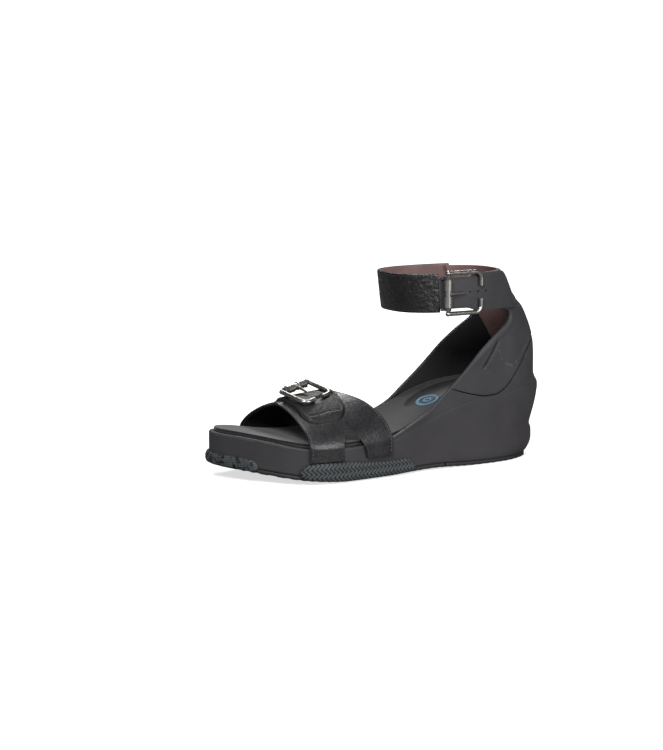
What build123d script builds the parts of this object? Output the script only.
from build123d import *
import math
import os

# Left wedge sandal with a buckled instep band (the vamp) and a high ankle strap.
# Millimetres. +Z up, toes point to -Y, +X is the outer side of the foot.
# Origin: on the ground, under the middle of the heel seat.
# Places are written (fwd, out, z): fwd = distance forward of the rearmost point of
# the tread, out = +X, z = height. at() turns them into points of the model.

os.makedirs("parts", exist_ok=True)

# ---------------------------------------------------------------- dimensions
HEEL_REF = 30.0          # fwd of the origin
LEATHER = 1.5            # upper leather thickness
LINING = 0.8             # lining thickness
COUNTER = 1.4            # heel counter thickness
TREAD = 3.2              # rubber tread thickness
GAP = 0.25               # glue line left between bonded layers
BEHIND, AHEAD = -12, 262  # fwd of places clear of the heel and of the toe
SIDE = 70                # out of a place clear of the shoe's side

BAND_Z0 = 115.4          # lower edge of the ankle strap
BAND_Z1 = 143.8          # upper edge of the ankle strap
BAND_MID = (BAND_Z0 + BAND_Z1) / 2
LOOP_FWD = 71.0          # centre of the ankle loop, along the foot
LOOP_HALF_LENGTH = 47.1  # inner face
LOOP_HALF_WIDTH = 27.0   # inner face
LOOP_POWER = 2.6         # squareness of the ankle loop
STRAP_ROOT_FWD = 46.0    # where the strap leaves the collar, inner side
COLLAR_END_FWD = 45.0    # outer side end of the collar
BILLET_Z0 = 118.0        # lower edge of the billet, the strap's fastening end
BILLET_Z1 = 141.0
BILLET_ROOT_FWD = 92.0   # where the billet starts, outer side
BILLET_END_FWD = 30.5
BILLET_OUTER = 6.3       # outer face of the billet, outwards of the loop
BILLET_CORNER = 5.0      # radius of its rear corners
HOLE_RADIUS = 0.8
HOLE_FIRST_FWD = 54.5
HOLE_PITCH = 7.0

WIRE = 3.4               # buckle wire diameter
BAR_D = 2.6              # buckle bar diameter
ROLLER_OD = 6.4          # roller tube outside diameter
CLEAR = 0.06             # radial running clearance on the bar
BUCKLE_CORNER = 5.0      # corner radius of the frame, on the wire's axis
EYE = 3.4                # width of the prong's eye
CHAPE = 2.2              # width of a chape loop
BAR_GAP = 0.3            # space between neighbours on the bar
PRONG_DIP = 0.075        # slope of the prong towards the leather, radians
ANKLE_BUCKLE = (33.0, 33.5, 9.5)  # outside height along the bar, length, gap in the frame
VAMP_BUCKLE = (31.0, 28.0, 8.0)

VAMP_OUTER = 2.3         # outer face of the vamp, outwards of its inner face
VAMP_FOOT_Z = 16.3       # lower edge of the vamp
VAMP_TAB_FOOT_Z = 24.0   # lower edge of the layers the tab is cut from
VAMP_SEAM_X = -16.0      # seam of outer and inner vamp, under the tab backing

# outline of the sole in plan (fwd, out): heel back first, outer side, toe, inner side
OUTLINE = [
    (0, 0), (2.5, 11), (9, 20), (22, 27.3), (42, 30.5), (66, 31.6), (95, 32.4),
    (124, 35), (150, 38.7), (172, 40.6), (188, 40.8), (204, 38.6), (217, 32.5),
    (230, 20.5), (240, 8.5), (248, -2.5), (253.5, -11), (256, -19), (254.8, -26.5),
    (250.5, -33), (243, -38), (232, -42), (217, -44), (200, -44), (184, -42.5),
    (160, -38.5), (135, -33.5), (110, -30), (84, -28.8), (60, -29.2), (40, -28.8),
    (22, -26.3), (9, -19.5), (2.5, -11)]
# back line of the heel (z, fwd)
BACK = [
    (-1, 3.5), (2, 1.2), (5, -0.4), (9, -1.6), (15, -2.4), (21, -2.2), (25, -0.8),
    (31, -2.4), (39, -5), (48, -7), (54.5, -7.8), (57, -7.0), (60, -5.2), (64, -4),
    (75, -4), (86, -3.6), (96, -1.2), (105, 2.2), (113, 6.2), (118, 10), (125, 15),
    (133, 19.5), (145, 24)]
# width of the heel, which narrows towards the ankle (z, scale)
HEEL_WIDTH = [(0, 1.0), (56, 1.0), (75, 0.985), (95, 0.94), (113, 0.90), (145, 0.885)]
# underside of the tread, rim of the wedge, top of the footbed (fwd, z)
UNDER = [
    (-12, 4), (2, 1.4), (8, 0.3), (14, 0), (60, 0), (95, 1.2), (122, 0.5), (136, 0),
    (172, 0), (188, 1.0), (204, 2.8), (222, 5.6), (238, 8), (262, 11.5)]
RIM = [
    (-12, 56), (14, 56), (26, 54), (40, 51), (55, 50), (64, 49), (84, 44.2), (98, 39),
    (112, 33.2), (126, 28.3), (138, 25.8), (160, 24.8), (190, 24.8), (204, 26),
    (217, 28.4), (230, 31), (245, 33), (262, 34)]
FOOTBED = [
    (-12, 59), (20, 58.6), (40, 57), (64, 54), (84, 48.6), (98, 43), (112, 37.2),
    (126, 32.3), (138, 29.6), (160, 28.3), (190, 28.2), (204, 29.3), (217, 31.6),
    (230, 34), (245, 36), (262, 37)]
# top edge of the quarters forward of the heel (fwd, z)
TOPLINE = [
    (32.6, BAND_Z0), (33.2, 112), (35, 108.6), (40, 102.8), (47.4, 95.4), (56.4, 84.6),
    (66.3, 74.5), (82, 60.2), (94.4, 49.8), (106.3, 42.9), (118, 36.9), (126.4, 32.2),
    (134.5, 28.0)]
# curved seam between lower and upper quarter (fwd, z)
QUARTER_SEAM = [
    (-12, 93.5), (-4, 92.9), (3.5, 92.0), (10.5, 85.2), (20.4, 72.6), (27.4, 63.8),
    (35.8, 55.4), (43.8, 51.9), (52.7, 51.5), (63.5, 53.4), (75, 56.6), (84, 59.8)]
# heights of the sections of the sole and of the quarters
SOLE_Z = [-2, 5, 10, 15, 20, 25, 31, 37, 43, 49, 54.5, 60]
FOOTBED_Z = [20, 39, 54.5, 64]
WALL_Z = [20, 30, 39, 47, 54.5, 62, 70, 78, 87, 96, 103.5, 110, BAND_Z0]
WALL_FRONT = 150.0       # front end of the quarter walls before trimming
# crest height and squareness of the vamp arch (fwd, value)
VAMP_CREST = [(120, 61.0), (164, 57.0), (185, 54.6), (207, 51.4), (226, 47.0)]
VAMP_POWER = [(150, 1.62), (205, 1.55)]
VAMP_STATIONS = (128, 152, 176, 200, 224)
# edges of the vamp in plan (fwd, out)
VAMP_FRONT = [
    (203.2, 60), (203.2, 40), (204.6, 30), (206, 18), (207.3, 4), (209, -10),
    (211.5, -24), (215, -38), (217, -48), (217, -60)]
VAMP_REAR = [
    (158, -60), (158.5, -46), (160, -34), (162, -18), (163.8, -4), (162, 4), (157, 11),
    (149, 20.5), (143, 29), (137.5, 36.5), (134.6, 42), (134.2, 60)]
# opening in the outer side of the vamp, and in its lining (fwd, z)
WINDOW = [
    (176.6, 15), (177.6, 24), (176.4, 31), (172.5, 35.2), (167.5, 34.5), (163, 30),
    (159.6, 24), (157, 15)]
LINING_WINDOW = [
    (176.8, 15), (177.8, 24), (176.6, 31), (172.5, 35.6), (167.5, 34.9), (162.8, 30),
    (159.4, 24), (156.8, 15)]


# -------------------------------------------------------------------- curves
def hermite(u, start, start_slope, end, end_slope):
    return ((2 * u ** 3 - 3 * u ** 2 + 1) * start + (u ** 3 - 2 * u ** 2 + u) * start_slope
            + (-2 * u ** 3 + 3 * u ** 2) * end + (u ** 3 - u ** 2) * end_slope)


def lookup(x, table):
    """Monotone cubic through a table of (x, value), constant beyond its ends."""
    if x <= table[0][0]:
        return table[0][1]
    if x >= table[-1][0]:
        return table[-1][1]
    pairs = list(zip(table, table[1:]))
    steps = [b[0] - a[0] for a, b in pairs]
    rises = [(b[1] - a[1]) / (b[0] - a[0]) for a, b in pairs]
    slopes = [0.0] * len(table)
    slopes[0], slopes[-1] = rises[0], rises[-1]
    for i in range(1, len(steps)):
        if rises[i - 1] * rises[i] > 0:
            slopes[i] = ((steps[i - 1] + steps[i])
                         / (steps[i - 1] / rises[i] + steps[i] / rises[i - 1]))
    k = max(j for j in range(len(table)) if table[j][0] <= x)
    return hermite((x - table[k][0]) / steps[k], table[k][1], steps[k] * slopes[k],
                   table[k + 1][1], steps[k] * slopes[k + 1])


def sampled(table, start, end, count, lift=0.0):
    """Evenly spaced points of a table, lifted."""
    stations = [start + (end - start) * i / (count - 1) for i in range(count)]
    return [(fwd, lookup(fwd, table) + lift) for fwd in stations]


def tangent(before, point, after):
    len_in, len_out = math.dist(before, point), math.dist(point, after)
    return [((point[j] - before[j]) / len_in * len_out + (after[j] - point[j]) / len_out * len_in)
            / (len_in + len_out) for j in (0, 1)]


def closed_curve(points, per_span):
    """Closed Catmull-Rom curve through the points, per_span samples a span."""
    curve = []
    for i in range(len(points)):
        before, start, end, after = (points[(i + j) % len(points)] for j in (-1, 0, 1, 2))
        length = math.dist(start, end)
        leave, arrive = tangent(before, start, end), tangent(start, end, after)
        for k in range(per_span):
            curve.append(tuple(hermite(k / per_span, start[j], length * leave[j],
                                       end[j], length * arrive[j]) for j in (0, 1)))
    return curve


def fade(x, start, end):
    """1 below start, 0 above end, smooth between."""
    u = min(1.0, max(0.0, (x - start) / (end - start)))
    return 1 - u * u * (3 - 2 * u)


# ------------------------------------------------------- solids and part files
def at(fwd, out, z):
    """Place on the shoe to a point of the model."""
    return Vector(out, HEEL_REF - fwd, z)


def corners(*points):
    """Runs of a polygon, for the prisms."""
    return [[point] for point in points]


def closed_face(runs, place):
    """Face bounded by runs of points, joined by lines where their ends differ.
    A run of one point is a corner, of two a line, of more a spline."""
    edges = []
    for i, run in enumerate(runs):
        points = [place(*point) for point in run]
        if len(run) == 2:
            edges.append(Line(points[0], points[1]))
        elif len(run) > 2:
            edges.append(Spline(points))
        following = runs[(i + 1) % len(runs)][0]
        if run[-1] != following:
            edges.append(Line(points[-1], place(*following)))
    return Face(Wire(edges))


def side_prism(runs, x0, x1):
    """Region of the side view (fwd, z), swept from x0 to x1."""
    face = closed_face(runs, lambda fwd, z: at(fwd, x0, z))
    return extrude(face, amount=x1 - x0, dir=(1, 0, 0))


def plan_prism(runs, z0, z1):
    """Region of the plan (fwd, out), swept from z0 to z1."""
    face = closed_face(runs, lambda fwd, out: at(fwd, out, z0))
    return extrude(face, amount=z1 - z0, dir=(0, 0, 1))


def layer(low, low_lift, high, high_lift):
    """Everything between two height tables, over the whole length."""
    bottom = sampled(low, BEHIND, AHEAD, 24, low_lift)
    top = sampled(high, BEHIND, AHEAD, 24, high_lift)
    return side_prism([bottom, top[::-1]], -SIDE, SIDE)


def strip_wire(outer_points, inner_points):
    """Closed section of a strip; inner_points run back from where the outer ones end."""
    outer, inner = Spline(outer_points), Spline(inner_points)
    return Wire([outer, Line(outer @ 1, inner @ 0), inner, Line(inner @ 1, outer @ 0)])


def overlap(a, b):
    common = a & b
    return Compound(children=list(common)) if isinstance(common, list) else common


def bodies(shape):
    """Solids of a shape, largest first."""
    return sorted(shape.solids(), key=lambda solid: -solid.volume)


def put(name, shape):
    """Write a piece; slivers are dropped unless a list of solids is given."""
    solids = shape
    if not isinstance(shape, list):
        solids = [solid for solid in bodies(shape) if solid.volume > 0.5]
    piece = solids[0] if len(solids) == 1 else Compound(children=solids)
    export_step(piece, "parts/%s.step" % name)


# ------------------------------------------------------------ shape of the shoe
SPAN_SAMPLES = 4
BASE = closed_curve(OUTLINE, SPAN_SAMPLES)


def outline(z, shift=0.0):
    """Sole outline at height z, moved outwards by shift."""
    points = []
    for fwd, out in BASE:
        narrowing = (1 - lookup(z, HEEL_WIDTH)) * fade(fwd, 70, 150)
        points.append((fwd + lookup(z, BACK) * fade(fwd, 4, 48), out * (1 - narrowing)))
    moved = []
    for i, (fwd, out) in enumerate(points):
        before, after = points[i - 1], points[(i + 1) % len(points)]
        d_fwd, d_out = after[0] - before[0], after[1] - before[1]
        length = math.hypot(d_fwd, d_out)
        moved.append((fwd - shift * d_out / length, out + shift * d_fwd / length))
    return moved


def wall_x(fwd, z, side, shift=0.0):
    """Where the outline passes a station (side +1 outer, -1 inner)."""
    points = outline(z, shift)
    crossings = []
    for i, a in enumerate(points):
        b = points[(i + 1) % len(points)]
        if (a[0] - fwd) * (b[0] - fwd) <= 0 and a[0] != b[0]:
            crossings.append(a[1] + (b[1] - a[1]) * (fwd - a[0]) / (b[0] - a[0]))
    return max(crossings, key=lambda x: x * side)


def sole_block(levels, shift=0.0):
    """Solid lofted up through outlines at the given heights."""
    rings = []
    for z in levels:
        points = [at(fwd, out, z) for fwd, out in outline(z, shift)[::SPAN_SAMPLES]]
        rings.append(Wire([Spline(points, periodic=True)]))
    return Solid.make_loft(rings)


def heel_curve(z, shift):
    """Open curve round the heel, from outer front to inner front."""
    points = outline(z, shift)
    toe = max(range(len(points)), key=lambda i: points[i][0])
    outer = [p for p in points[:toe] if p[0] < WALL_FRONT - 2.0]
    inner = [p for p in points[toe:] if p[0] < WALL_FRONT - 2.0]
    curve = ([(WALL_FRONT, wall_x(WALL_FRONT, z, +1, shift))] + outer[::-1]
             + inner[::-1] + [(WALL_FRONT, wall_x(WALL_FRONT, z, -1, shift))])
    # every fourth point, the ends kept
    return [at(fwd, out, z) for fwd, out in [curve[0]] + curve[3:-3:4] + [curve[-1]]]


def wall(outer, inner, levels=WALL_Z):
    """Heel-embracing wall between two shifts of the outline."""
    return Solid.make_loft([strip_wire(heel_curve(z, outer), heel_curve(z, inner)[::-1])
                            for z in levels])


# ------------------------------------------------------------------ sole unit
def shank_strip(back, front, half_width):
    return plan_prism(corners((back, -half_width), (front, -half_width),
                              (front, half_width), (back, half_width)), 0, 80)


def wedge_midsole():
    """Wedge with a pocket for the insole board and a groove for the shank under it."""
    core = overlap(sole_block(SOLE_Z), layer(UNDER, TREAD + GAP, RIM, 0.0))
    pocket = overlap(sole_block([10, 62], -6.0), layer(RIM, -1.75, RIM, 8.0))
    groove = overlap(shank_strip(34, 148, 8), layer(RIM, -3.2, RIM, 0.0))
    return core - pocket - groove


put("wedge_midsole", wedge_midsole())

# the treads are cut level with the ground, so that each stands on a flat
tread = overlap(sole_block([-2, 9, 15], -0.6), layer(UNDER, -0.35, UNDER, TREAD))
for name, middle_fwd, length in (("heel_outsole", 20, 116), ("forefoot_outsole", 196, 200)):
    put(name, overlap(tread, Plane(origin=at(middle_fwd, 0, 30)) * Box(200, length, 60)))

# rubber guards bonded round the edge of the forefoot tread:
# name, fwd from and to, x from and to, top edge (fwd, z)
GUARDS = [
    ("side_guard_lateral", 115, 209, 6, SIDE,
     [(110, 6.0), (117, 9.2), (124, 12.4), (131, 12.0), (137, 12.2), (176, 15.2),
      (196, 15.9), (207, 14.6), (214, 12.5)]),
    ("side_guard_medial", 135, 214, -SIDE, -6, [(130, 8), (150, 14), (200, 15.5), (216, 13)]),
    ("toe_guard", 232, 262, -SIDE, 40, [(228, 14.5), (236, 17.5), (250, 19), (262, 19.5)]),
]
guard_ring = sole_block([-2, 20], 3.4) - sole_block([-4, 24], GAP)
for name, back, front, x0, x1, top_edge in GUARDS:
    bottom = sampled(UNDER, back, front, 16, 0.9)
    top = sampled(top_edge, back, front, 16)
    put(name, overlap(guard_ring, side_prism([bottom, top[::-1]], x0, x1)))

# board, shank and the two footbed layers
put("insole_board", overlap(sole_block([20, 62], -6.4), layer(RIM, -1.55, RIM, -0.1)))
put("shank", overlap(shank_strip(36, 146, 6.5), layer(RIM, -3.0, RIM, -1.95)))
put("footbed_cushion", overlap(sole_block(FOOTBED_Z, -4.6), layer(RIM, 0.15, FOOTBED, -1.4)))
put("footbed_cover", overlap(sole_block(FOOTBED_Z, -4.4), layer(FOOTBED, -1.2, FOOTBED, 0.0)))

# ------------------------------------------------------------------- quarters
outer_wall = wall(0.0, -LEATHER)


def quarter_lower():
    """From the rim of the wedge up to the curved seam and the top edge."""
    base = [(BEHIND, 40), (134.4, 20)]
    top = [p for p in TOPLINE if p[0] > 83]
    seam = sampled(QUARTER_SEAM, BEHIND, 84, 18, -0.1)
    region = side_prism([base, top[::-1], seam[::-1]], -SIDE, SIDE)
    above_rim = layer(RIM, GAP, [(BEHIND, 120), (AHEAD, 120)], 0)
    return overlap(overlap(outer_wall, region), above_rim)


def quarter_upper(x0, x1):
    seam = sampled(QUARTER_SEAM, BEHIND, 83.6, 18, 0.1)
    top = [p for p in TOPLINE if p[0] < 83]
    return overlap(outer_wall, side_prism([seam, top[::-1], [(BEHIND, BAND_Z0)]], x0, x1))


put("quarter_lower", quarter_lower())
put("quarter_lateral", quarter_upper(0.1, SIDE))
put("quarter_medial", quarter_upper(-SIDE, -0.1))

# linings along the two sides
SIDE_LINING_BACK = 38.05
SIDE_LINING_FRONT = 114.0
TOP_DROP = 0.4           # lining stays this far below the top edge
COUNTER_OUTER = -LEATHER - GAP
inner_wall = wall(COUNTER_OUTER, COUNTER_OUTER - LINING)
lining_base = sampled(FOOTBED, SIDE_LINING_BACK, SIDE_LINING_FRONT, 20, 0.15)
lining_top = [(fwd, z - TOP_DROP) for fwd, z in TOPLINE if 39 < fwd < 112]
lining_top.append((SIDE_LINING_FRONT, lookup(SIDE_LINING_FRONT, TOPLINE) - TOP_DROP))
side_lining = [lining_base, lining_top[::-1], [(SIDE_LINING_BACK, 104.6)]]
put("lining_lateral", overlap(inner_wall, side_prism(side_lining, 3, SIDE)))
put("lining_medial", overlap(inner_wall, side_prism(side_lining, -SIDE, -3)))

# lining round the heel, and the counter between it and the quarters:
# name, outer face, thickness, side view (fwd, z)
HEEL_LAYERS = [
    ("lining_heel", -3.5, LINING,
     corners((BEHIND, 59.9), (38.0, 59.2), (38.0, 104.2), (33.0, 111.5), (32.4, 115.2),
             (BEHIND, 115.2))),
    ("heel_counter", COUNTER_OUTER, COUNTER,
     corners((BEHIND, 59.9), (37.6, 59.2), (34, 82), (22, 102), (BEHIND, 102))),
]
for name, face, thickness, region in HEEL_LAYERS:
    heel_wall = wall(face, face - thickness, WALL_Z[1:])
    put(name, overlap(heel_wall, side_prism(region, -SIDE, SIDE)))


# --------------------------------------------------------------- ankle strap
def loop_point(angle, shift, z):
    """(fwd, out, z) on the ankle loop, shifted outwards.
    Angle 0 = outer side, 90 = front, 180 = inner side, 270 = back."""
    cos, sin = math.cos(math.radians(angle)), math.sin(math.radians(angle))
    half_length, half_width = LOOP_HALF_LENGTH + shift, LOOP_HALF_WIDTH + shift
    radius = (abs(sin / half_length) ** LOOP_POWER
              + abs(cos / half_width) ** LOOP_POWER) ** (-1 / LOOP_POWER)
    # leans forward with height, more at the back than at the front
    lean = (z - BAND_MID) * (0.13 * max(sin, 0) - 0.5 * min(sin, 0))
    return (LOOP_FWD + radius * sin + lean, radius * cos, z)


def loop_angle(fwd, side, shift):
    """Angle at which the loop passes a station (side +1 outer, -1 inner)."""
    low, high = (-90.0, 90.0) if side > 0 else (90.0, 270.0)
    for _ in range(50):
        middle = (low + high) / 2
        if (loop_point(middle, shift, BAND_MID)[0] < fwd) == (side > 0):
            low = middle
        else:
            high = middle
    return (low + high) / 2


def band(inner, outer, start, end, z0, z1, spans=None):
    """Part of the ankle loop between two shifts, two angles and two heights."""
    spans = spans or max(6, int(abs(end - start) / 7))
    wires = []
    for z in (z0, z0 + (z1 - z0) / 2, z1):
        wires.append(strip_wire(
            [at(*loop_point(start + (end - start) * i / spans, outer, z))
             for i in range(spans + 1)],
            [at(*loop_point(end + (start - end) * i / spans, inner, z))
             for i in range(spans + 1)]))
    return Solid.make_loft(wires)


ROOT = loop_angle(STRAP_ROOT_FWD, -1, 4.0)
BILLET_START = loop_angle(BILLET_ROOT_FWD, +1, 4.0)
BILLET_END = loop_angle(BILLET_END_FWD, +1, 4.0)
STRAP_START = BILLET_START + 0.4
COLLAR_START = ROOT + 0.35
COLLAR_END = 360 + loop_angle(COLLAR_END_FWD, +1, 2.0)
PATCH_ANGLE = 360 + BILLET_END
COLLAR_Z = (BAND_Z0 + 0.3, BAND_Z1 - 1.2)

# name, inner and outer face, start and end angle, lower and upper edge, spline spans
BANDS = [
    ("collar_lining", 0.0, LINING, COLLAR_START, COLLAR_END, *COLLAR_Z, None),
    ("collar", 0.95, 2.3, COLLAR_START, COLLAR_END, *COLLAR_Z, None),
    ("collar_patch", 2.45, 3.7, PATCH_ANGLE - 19, PATCH_ANGLE - 1.5, 117.0, 141.0, None),
    ("loop_patch", 2.45, 3.2, PATCH_ANGLE + 1.5, COLLAR_END - 0.5, 121.0, 138.0, None),
    ("hook_patch", 3.3, 4.05, PATCH_ANGLE + 2.0, COLLAR_END - 1.0, 121.5, 137.5, None),
    ("ankle_strap_lining", 3.25, 4.0, STRAP_START, ROOT, BAND_Z0 + 0.5, BAND_Z1 - 0.5, 14),
    ("ankle_strap", 4.2, 5.6, STRAP_START, ROOT, BAND_Z0, BAND_Z1, 14),
]
for name, *sizes in BANDS:
    put(name, band(*sizes))


def billet(inner, outer, inset):
    """Fastening end with its rear corners rounded."""
    z0, z1 = BILLET_Z0 + inset, BILLET_Z1 - inset
    # the inset at the rear end is 0.9 degree of the loop per mm
    body = band(inner, outer, BILLET_END + inset * 0.9, BILLET_START, z0, z1, 9)
    back = BILLET_END_FWD + inset - 4
    front = BILLET_END_FWD + inset + BILLET_CORNER
    for edge_z, up in ((z0, 1), (z1, -1)):
        centre_z = edge_z + BILLET_CORNER * up
        square = side_prism(corners((back, edge_z - up), (front, edge_z - up),
                                    (front, centre_z), (back, centre_z)), 0, 60)
        axis = Plane(origin=at(front, 0, centre_z), z_dir=(1, 0, 0))
        body = body - (square - Solid.make_cylinder(BILLET_CORNER, 60, axis))
    return body


punched = billet(4.95, BILLET_OUTER, 0.0)
for i in range(4):
    centre = at(HOLE_FIRST_FWD + HOLE_PITCH * i, 26, (BILLET_Z0 + BILLET_Z1) / 2)
    punched = punched - Solid.make_cylinder(HOLE_RADIUS, 12, Plane(origin=centre, z_dir=(1, 0, 0)))
put("billet", punched)
put("billet_lining", bodies(billet(4.15, 4.8, 0.8))[:1])


# -------------------------------------------------------------------- buckles
# A buckle is built with its bar on the local x axis, the arms along +y and
# z away from the leather.
def rod(radius, start, length, side=1):
    """Cylinder on the bar's axis, running from x = start to the given side."""
    return Solid.make_cylinder(radius, length, Plane(origin=(start, 0, 0), z_dir=(side, 0, 0)))


def frame_reach(height, length):
    """Half height and arm length of a frame, on the wire's axis."""
    return height / 2 - WIRE / 2, length - WIRE / 2 - ROLLER_OD / 2


def buckle_frame(half, arm, gap):
    """Wire frame with a gap opposite its straight bar."""
    def frame_side(side):
        path = Wire(Polyline((side * gap / 2, arm), (side * half, arm), (side * half, 0)).edges())
        corner = path.vertices().sort_by_distance(Vector(side * half, arm, 0))[0]
        path = path.fillet_2d(BUCKLE_CORNER, [corner])
        section = Plane(origin=(side * gap / 2, arm, 0), z_dir=(1, 0, 0))
        return sweep(section * Circle(WIRE / 2), path=path)

    frame = frame_side(-1) + frame_side(1)
    # rounded lugs that carry the bar
    for side in (-1, 1):
        frame = frame + Plane(origin=(side * half, 0, 0)) * Sphere(WIRE / 2 + 0.15)
    return frame + rod(BAR_D / 2, -half, 2 * half)


def roller(start, length, side):
    tube = (rod(ROLLER_OD / 2, start, length, side)
            - rod(BAR_D / 2 + CLEAR, start, length, side))
    return tube.solids()[0]


def chape_loop(start, side):
    """Loop round the bar on a flat foot."""
    middle = start + side * CHAPE / 2
    foot = Plane(origin=(middle, -1.2, -ROLLER_OD / 2 + 0.75)) * Box(CHAPE, 6.6, 1.0)
    loop = rod(2.5, start, CHAPE, side) + foot
    loop = loop + Plane(origin=(middle, 0, -1.75)) * Box(CHAPE, 2.4, 2.3)
    loop = loop - rod(BAR_D / 2 + CLEAR, start, CHAPE, side)
    return loop.solids()[0]


def buckle_prong(arm):
    """Eye round the bar and a tapering tongue towards the open side."""
    y, z = 1.2, 1.1
    root_radius, tip_radius = 1.35, 0.8
    reach = arm * 0.46
    cos, sin = math.cos(PRONG_DIP), math.sin(PRONG_DIP)
    tongue = Solid.make_cone(root_radius, tip_radius, reach,
                             Plane(origin=(0, y, z), z_dir=(0, cos, -sin)))
    tip = Plane(origin=(0, y + reach * cos, z - reach * sin)) * Sphere(tip_radius)
    return rod(2.55, -EYE / 2, EYE) + tongue + tip - rod(BAR_D / 2 + CLEAR, -EYE / 2, EYE)


def put_buckle(name, plane, height, length, gap):
    half, arm = frame_reach(height, length)
    free = 2 * (half - WIRE / 2) - 0.8
    tube = (free - EYE - BAR_GAP * 2 - 2 * (CHAPE + 0.4)) / 2
    start = EYE / 2 + BAR_GAP
    rollers = [roller(side * start, tube, side) for side in (-1, 1)]
    chapes = [chape_loop(side * (start + tube + BAR_GAP), side) for side in (-1, 1)]
    move = plane.location
    put(name + "_buckle_frame", move * buckle_frame(half, arm, gap))
    put(name + "_buckle_roller", [move * solid for solid in rollers])
    put(name + "_chape", [move * solid for solid in chapes])
    put(name + "_buckle_prong", move * buckle_prong(arm))


def ankle_buckle_plane():
    """Bar upright, arms run to the rear, tilted to lie on the strap."""
    bar_fwd = 88.6
    chord = 27.0

    def strap_x(fwd):
        return loop_point(loop_angle(fwd, 1, BILLET_OUTER), BILLET_OUTER, BAND_MID)[1]

    bar_x = strap_x(bar_fwd) + ROLLER_OD / 2 + 0.15
    tilt = math.atan2(bar_x - (strap_x(bar_fwd - chord) + WIRE / 2 + 0.3), chord)
    bar_dir = Vector(0, 0, -1)
    arm_dir = Vector(-math.sin(tilt), math.cos(tilt), 0.0)
    return Plane(origin=at(bar_fwd, bar_x, BAND_MID), x_dir=bar_dir, z_dir=bar_dir.cross(arm_dir))


def vamp_buckle_plane():
    """Bar on the inner side, arms towards the outer side."""
    bar_dir = Vector(10.0, -29.0, -4.9).normalized()     # forwards, outwards and down
    arm_rough = Vector(23.0, 2.0, -6.6)
    arm_dir = (arm_rough - bar_dir * arm_rough.dot(bar_dir)).normalized()
    return Plane(origin=at(190.5, -8.0, 63.1), x_dir=bar_dir, z_dir=bar_dir.cross(arm_dir))


put_buckle("ankle", ankle_buckle_plane(), *ANKLE_BUCKLE)
vamp_plane = vamp_buckle_plane()
put_buckle("vamp", vamp_plane, *VAMP_BUCKLE)


# ---------------------------------------------------------------------- vamp
def vamp_curve(fwd, shift, foot_z):
    """Arch over the forefoot at a station, from outer to inner foot."""
    outer = wall_x(fwd, 15, 1) + 0.3 + shift
    inner = wall_x(fwd, 15, -1) - 0.3 - shift
    spring = max(25.4, lookup(fwd, RIM) + 0.6)
    crest = lookup(fwd, VAMP_CREST) + shift
    power = 2 / lookup(fwd, VAMP_POWER)
    middle, half = (outer + inner) / 2, (outer - inner) / 2
    points = [(outer, foot_z), (outer, (foot_z + spring) / 2)]
    for i in range(13):
        cos, sin = math.cos(math.pi * i / 12), math.sin(math.pi * i / 12)
        points.append((middle + half * math.copysign(abs(cos) ** power, cos),
                       spring + (crest - spring) * abs(sin) ** power))
    points += [(inner, (foot_z + spring) / 2), (inner, foot_z)]
    return [at(fwd, x, z) for x, z in points]


def vamp_block(inner, outer, foot_z=VAMP_FOOT_Z):
    return Solid.make_loft([strip_wire(vamp_curve(fwd, outer, foot_z),
                                       vamp_curve(fwd, inner, foot_z)[::-1])
                            for fwd in VAMP_STATIONS])


def vamp_cut(inset=0.0):
    """Plan of the vamp, its front and rear edges drawn in by inset."""
    front = [(fwd - inset, out) for fwd, out in VAMP_FRONT]
    rear = [(fwd + inset, out) for fwd, out in VAMP_REAR]
    return plan_prism([front, rear], 0, 100)


def beyond_seam(side):
    """Box that removes everything on one side of the seam, and 0.1 more."""
    return Plane(origin=(side * (SIDE - 0.1) + VAMP_SEAM_X, 0, 50)) * Box(2 * SIDE, 600, 120)


vamp = overlap(vamp_block(LINING + 0.2, VAMP_OUTER), vamp_cut())
put("vamp_lateral", vamp - side_prism([WINDOW], 20, SIDE) - beyond_seam(-1))
put("vamp_medial", vamp - beyond_seam(1))
vamp_lining = overlap(vamp_block(0.0, LINING), vamp_cut(1.0))
put("vamp_lining", vamp_lining - side_prism([LINING_WINDOW], 20, SIDE))

# padded tab on top of the vamp, running from under the bar to the outer side,
# and the thin backing on its inner side; plans are (fwd, out)
TAB_PLAN = [
    [(203, -9)],
    [(168, -13), (165.5, 0), (163.8, 12), (164.0, 20), (166.5, 27), (172, 30.5),
     (181, 31.5), (190, 31), (197, 28), (201, 21), (203.3, 10), (203, -9)]]
BACKING_PLAN = [
    [(201, -25)],
    [(171, -26), (170, -20), (168.4, -13.4)],
    [(202.8, -9.4), (202.6, -17), (201, -25)]]


def tab_layer(thickness_end, plan):
    block = vamp_block(VAMP_OUTER + 0.2, VAMP_OUTER + thickness_end, VAMP_TAB_FOOT_Z)
    return overlap(block, plan_prism(plan, 30, 90))


def vamp_tab():
    """Padding, pressed in where the wire of the frame rests on it."""
    pad = tab_layer(2.4, TAB_PLAN)
    half, arm = frame_reach(*VAMP_BUCKLE[:2])
    groove = WIRE + 0.9
    floor = -(WIRE / 2 + 0.25)
    # centre x and y, size x and y: two arms, open side, two corners
    dents = [(-half, arm / 2, groove, arm + groove), (half, arm / 2, groove, arm + groove),
             (0, arm, 2 * half, groove),
             (-half + 2.0, arm - 2.0, 4.8, 4.8), (half - 2.0, arm - 2.0, 4.8, 4.8)]
    for x, y, size_x, size_y in dents:
        dent = Plane(origin=(x, y, floor + 6)) * Box(size_x, size_y, 12)
        pad = bodies(pad - vamp_plane.location * dent)[0]
    return pad


put("vamp_tab_backing", tab_layer(0.9, BACKING_PLAN))
put("vamp_tab", [vamp_tab()])
